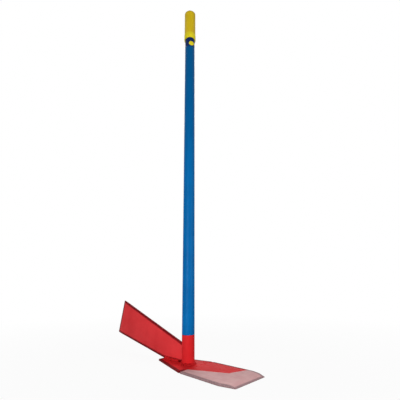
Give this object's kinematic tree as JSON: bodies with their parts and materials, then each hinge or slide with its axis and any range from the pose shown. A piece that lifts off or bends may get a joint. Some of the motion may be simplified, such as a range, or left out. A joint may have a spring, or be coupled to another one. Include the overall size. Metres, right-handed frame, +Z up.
{
  "type": "grubbing hoe with cutter blade",
  "caption": "Long-handled grubbing hoe: a tubular handle in a welded steel head with a flat hoe blade on one side and an upright flared cutter blade on the other.",
  "frame": {"origin": "on the handle's axis, in the underside of the base plate that the tool stands on", "axes": "+Z up the handle, +X along the hoe blade, and the tool is symmetric about the XZ plane apart from the cap's peg"},
  "size_m": [0.4835, 0.113, 1.05],
  "materials": {
    "blue_coat": "blue powder coat on steel tube, satin",
    "yellow_moulding": "moulded yellow plastic, satin",
    "plain_steel": "plain drawn steel tube, inside the handle",
    "red_enamel": "red enamel on steel plate, satin",
    "worn_blade": "red enamel worn to a pale pinkish grey over most of the blade"
  },
  "bodies": {
    "root": {"handle_tube": "blue_coat", "end_cap": "yellow_moulding", "cap_peg": "yellow_moulding", "spigot": "plain_steel", "socket_tube": "red_enamel", "base_plate": "red_enamel", "hoe_blade": "worn_blade", "cutter_blade": "red_enamel", "weld_socket_base": "red_enamel", "weld_hoe_base": "red_enamel", "weld_cutter_base_near": "red_enamel", "weld_cutter_base_far": "red_enamel", "weld_cutter_socket_near": "red_enamel", "weld_cutter_socket_far": "red_enamel"}
  },
  "joints": []
}
